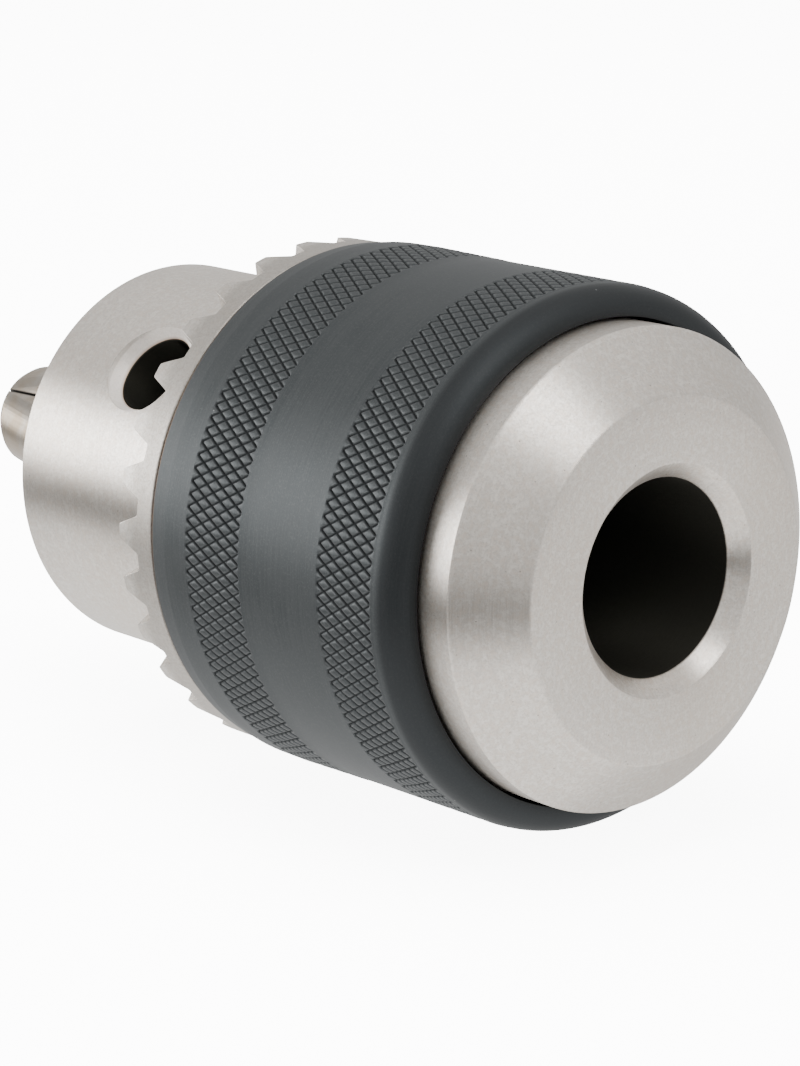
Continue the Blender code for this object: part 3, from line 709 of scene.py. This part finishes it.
def jaw_axis_point(s, clock):
    return point(s, (JAW_APEX - s) * math.tan(JAW_ANGLE), clock)


def jaw_direction(clock):
    a = math.radians(clock)
    inward = Vector((0, -math.cos(a), -math.sin(a)))
    return (Vector((-1, 0, 0)) * math.cos(JAW_ANGLE) + inward * math.sin(JAW_ANGLE)).normalized()


body = turned_with_poles("turned_body", body_profile, 240, M_BODY)
cuts = []
for n in range(3):
    clock = JAW_CLOCKS[n]
    cuts.append((column_along(f"bore_{n}", jaw_axis_point(9.6, clock), jaw_direction(clock),
                              [(0.0, 4.27), ((NOSE_FRONT + 6 - 9.6) / math.cos(JAW_ANGLE), 4.27)], 72, M_BODY), "DIFFERENCE"))
    clock = KEY_HOLE_CLOCK + 120 * n
    outward = point(0, 1, clock).normalized()
    top = NOSE_R - 8.6
    cuts.append((column_along(f"hole_{n}", point(KEY_HOLE_S, 8.6, clock), outward, [
        (0.0, 3.2), (0.35, 3.5), (top - 1.42, 3.5), (top - 1.30, 3.60), (top - 0.62, 4.22), (top - 0.40, 4.35), (top + 0.8, 4.44)], 96, M_BODY), "DIFFERENCE"))
apply_booleans(body, cuts)
smooth(body, 24)
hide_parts("chuck_body")
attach(body, "body")

# ---- jaws ----------------------------------------------------------------------------------
for n, clock in enumerate(JAW_CLOCKS):
    base, direction = jaw_axis_point(JAW_REAR, clock), jaw_direction(clock)
    length = (JAW_TIP + 3 - JAW_REAR) / math.cos(JAW_ANGLE)
    jaw = column_along(f"jaw_{n + 1}_skin", base, direction, [(0.0, 3.75), (0.35, JAW_R), (length, JAW_R)], 72, M_JAW)
    # the wedge of the two gripping flats, its long edges broken by small chamfers
    gap = 0.085 / math.sin(math.radians(60))
    bm = bmesh.new()
    ends = []
    for s in (10.0, 95.0):
        apex = point(s, gap, clock)
        ends.append([bm.verts.new(v) for v in (apex, apex + point(0, 34, clock + 60), apex + point(0, 40, clock), apex + point(0, 34, clock - 60))])
    for i in range(4):
        k = (i + 1) % 4
        bm.faces.new((ends[0][i], ends[0][k], ends[1][k], ends[1][i]))
    bm.faces.new(ends[0]); bm.faces.new(list(reversed(ends[1])))
    bmesh.ops.recalc_face_normals(bm, faces=bm.faces)
    me = bpy.data.meshes.new("wedge"); bm.to_mesh(me); bm.free(); me.materials.append(M_JAW)
    wedge = bpy.data.objects.new(f"wedge_{n}", me); bpy.context.scene.collection.objects.link(wedge)
    R = jaw_radius(JAW_TIP)
    tip = [(20, 0.0), (20, 30), (60, 30), (JAW_TIP - 1.15, jaw_radius(JAW_TIP - 1.15) + 0.06)]
    tip += [(JAW_TIP - 1.05 + 1.05 * math.sin(t), R - 1.05 + 1.10 * math.cos(t)) for t in np.radians(np.linspace(8, 88, 10))]
    tip += [(JAW_TIP, 0.0)]
    envelope = turned_with_poles(f"envelope_{n}", tip, 120, M_JAW)
    # thread: a rack of grooves across the outer side
    a = math.radians(clock)
    outward = Vector((0, math.cos(a), math.sin(a)))
    normal = (outward - direction * outward.dot(direction)).normalized()
    across = direction.cross(normal)
    rack = bmesh.new()
    for i in range(14):
        centre = base + direction * (1.6 + PITCH * i) * MM
        vs = []
        for side in (-5.0, 5.0):
            for al, up in ((-0.20, JAW_R - 0.80), (0.20, JAW_R - 0.80), (0.62, JAW_R + 0.40), (-0.62, JAW_R + 0.40)):
                vs.append(rack.verts.new(centre + (direction * al + normal * up + across * side) * MM))
        for i0 in range(4):
            k0 = (i0 + 1) % 4
            rack.faces.new((vs[i0], vs[k0], vs[k0 + 4], vs[i0 + 4]))
        rack.faces.new(vs[:4]); rack.faces.new(list(reversed(vs[4:])))
    bmesh.ops.recalc_face_normals(rack, faces=rack.faces)
    me = bpy.data.meshes.new("rack"); rack.to_mesh(me); rack.free(); me.materials.append(M_JAW)
    comb = bpy.data.objects.new(f"rack_{n}", me); bpy.context.scene.collection.objects.link(comb)
    apply_booleans(jaw, [(wedge, "INTERSECT"), (envelope, "INTERSECT"), (comb, "DIFFERENCE")])
    bevel = jaw.modifiers.new("edges", "BEVEL")
    bevel.width, bevel.segments, bevel.limit_method, bevel.angle_limit = 0.00009, 2, "ANGLE", math.radians(50)
    bevel.use_clamp_overlap = True
    smooth(jaw, 35)
    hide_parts(f"jaw_{n + 1}")
    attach(jaw, f"jaw_{n + 1}")

# ---- hidden pieces keep their solids and take better metals; the balls are made round --------
for node, mat in (("split_nut_upper", M_NUT), ("split_nut_lower", M_NUT), ("thrust_race_rear", M_RACE),
                  ("thrust_race_front", M_RACE), ("ball_cage", M_CAGE)):
    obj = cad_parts[node]
    obj.data.materials.clear()
    obj.data.materials.append(mat)
for n in range(20):
    name = f"bearing_ball_{n + 1:02d}"
    low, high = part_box(name)
    bm = bmesh.new()
    bmesh.ops.create_icosphere(bm, subdivisions=3, radius=0.99 * MM)
    bmesh.ops.translate(bm, verts=bm.verts, vec=(low + high) / 2)
    me = bpy.data.meshes.new(name + "_round")
    bm.to_mesh(me); bm.free()
    me.materials.append(M_BALL)
    me.shade_smooth()
    ball = bpy.data.objects.new(name + "_round", me)
    bpy.context.scene.collection.objects.link(ball)
    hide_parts(name)
    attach(ball, "bearing")

# =====================================================================================
# stage
# =====================================================================================
floor_mat = Nodes("pale_floor", (0.9, 0.9, 0.9))
floor_mat.bsdf.inputs["Base Color"].default_value = (0.90, 0.90, 0.897, 1)
floor_mat.bsdf.inputs["Roughness"].default_value = 0.8
floor_mat.bsdf.inputs["Emission Color"].default_value = (1, 1, 1, 1)
seen = floor_mat.node("ShaderNodeLightPath")
floor_mat.link(floor_mat.math("MULTIPLY", seen.outputs["Is Camera Ray"], 9.0), floor_mat.bsdf.inputs["Emission Strength"])
bm = bmesh.new()
bmesh.ops.create_grid(bm, x_segments=2, y_segments=2, size=3.0)
bmesh.ops.translate(bm, verts=bm.verts, vec=(0, 0, -0.0224))
me = bpy.data.meshes.new("floor")
bm.to_mesh(me); bm.free()
me.materials.append(floor_mat.mat)
floor = bpy.data.objects.new("floor", me)
bpy.context.scene.collection.objects.link(floor)
floor.visible_glossy = False

world = bpy.data.worlds.new("studio")
bpy.context.scene.world = world
world.use_nodes = True
tree = world.node_tree
tree.nodes.clear()


def wmath(op, a, b=None, c=None):
    n = tree.nodes.new("ShaderNodeMath")
    n.operation = op
    for value, socket in zip((a, b, c), n.inputs):
        if hasattr(value, "is_output"):
            tree.links.new(value, socket)
        elif value is not None:
            socket.default_value = value
    return n.outputs[0]


coords = tree.nodes.new("ShaderNodeTexCoord")
split = tree.nodes.new("ShaderNodeSeparateXYZ")
tree.links.new(coords.outputs["Generated"], split.inputs[0])
wx, wy, wz = split.outputs
elevation = wmath("MULTIPLY", wmath("ARCSINE", wmath("MINIMUM", wmath("MAXIMUM", wz, -1.0), 1.0)), 180 / math.pi)
azimuth = wmath("MULTIPLY", wmath("ARCTAN2", wy, wx), 180 / math.pi)


def patch(az, el, wide, high, soft=0.5):
    """A soft-edged panel in the studio, 1 in its middle and 0 outside, sizes in degrees from the centre."""
    u = wmath("DIVIDE", wmath("SUBTRACT", azimuth, az), wide)
    v = wmath("DIVIDE", wmath("SUBTRACT", elevation, el), high)
    d = wmath("SQRT", wmath("ADD", wmath("MULTIPLY", u, u), wmath("MULTIPLY", v, v)))
    n = tree.nodes.new("ShaderNodeMapRange")
    n.interpolation_type = "SMOOTHSTEP"
    tree.links.new(d, n.inputs[0])
    n.inputs[1].default_value, n.inputs[2].default_value = 1.0 - soft, 1.0 + soft
    n.inputs[3].default_value, n.inputs[4].default_value = 1.0, 0.0
    return n.outputs[0]


ramp = tree.nodes.new("ShaderNodeValToRGB")
tree.links.new(wmath("ADD", wmath("DIVIDE", elevation, 180.0), 0.5), ramp.inputs[0])
els = ramp.color_ramp.elements
# (elevation, brightness): pale table below, room at the horizon, white ceiling
stops = [(-90, 0.76), (-40, 0.80), (-24, 0.66), (-12, 0.56), (5, 0.36), (25, 0.43), (45, 0.50), (90, 0.52)]
while len(els) > 1:
    els.remove(els[-1])
els[0].position, els[0].color = 0.0, (stops[0][1],) * 3 + (1,)
for angle, value in stops[1:]:
    e = els.new((angle + 90) / 180)
    e.color = (value, value, value, 1)
level = wmath("MULTIPLY", ramp.outputs[0], 2.6)
shade = wmath("ADD", wmath("MULTIPLY", patch(-42, -15, 34, 11), 0.88), wmath("MULTIPLY", patch(-125, -15, 48, 7.5), 0.88))
shade = wmath("ADD", shade, wmath("MULTIPLY", patch(108, -42, 40, 28), 0.42))
level = wmath("MULTIPLY", level, wmath("SUBTRACT", 1.0, wmath("MINIMUM", shade, 0.94)))
level = wmath("ADD", level, wmath("MULTIPLY", patch(-2, 49, 17, 11), 9.0))
level = wmath("ADD", level, wmath("MULTIPLY", patch(-144, 8, 23, 11), 9.5))
bg = tree.nodes.new("ShaderNodeBackground")
tree.links.new(level, bg.inputs["Strength"])
bg.inputs["Color"].default_value = (1.0, 0.995, 0.985, 1)
clean = tree.nodes.new("ShaderNodeBackground")
clean.inputs["Color"].default_value = (1, 1, 1, 1)
clean.inputs["Strength"].default_value = 12.0
path = tree.nodes.new("ShaderNodeLightPath")
mixs = tree.nodes.new("ShaderNodeMixShader")
out = tree.nodes.new("ShaderNodeOutputWorld")
tree.links.new(path.outputs["Is Camera Ray"], mixs.inputs[0])
tree.links.new(bg.outputs[0], mixs.inputs[1])
tree.links.new(clean.outputs[0], mixs.inputs[2])
tree.links.new(mixs.outputs[0], out.inputs[0])


def area(name, at, target, size, power, colour=(1, 1, 1)):
    data = bpy.data.lights.new(name, "AREA")
    data.shape = "RECTANGLE"
    data.size, data.size_y = size
    data.energy = power
    data.color = colour
    obj = bpy.data.objects.new(name, data)
    obj.location = at
    direction = Vector(target) - Vector(at)
    obj.rotation_euler = direction.to_track_quat("-Z", "Y").to_euler()
    bpy.context.scene.collection.objects.link(obj)
    return obj


top = area("top_soft", (-0.15, -0.10, 0.85), (-0.03, 0, 0), (1.1, 0.9), 30.0)
top.visible_glossy = False

# camera: the fitted viewpoint
cam_data = bpy.data.cameras.new("camera")
cam = bpy.data.objects.new("camera", cam_data)
bpy.context.scene.collection.objects.link(cam)
az, el = math.radians(48.7213), math.radians(13.6960)
forward = Vector((-math.sin(az) * math.cos(el), math.cos(az) * math.cos(el), -math.sin(el)))
right = Vector((math.cos(az), math.sin(az), 0))
up = right.cross(forward)
rot = Matrix((right, up, -forward)).transposed()
cam.matrix_world = Matrix.Translation((0.18100614, -0.18622677, 0.06689697)) @ rot.to_4x4()
cam_data.sensor_fit = "AUTO"
cam_data.sensor_width = 36.0
cam_data.lens = 3500.0 / 1066.0 * 36.0
cam_data.clip_start, cam_data.clip_end = 0.01, 20.0
bpy.context.scene.camera = cam
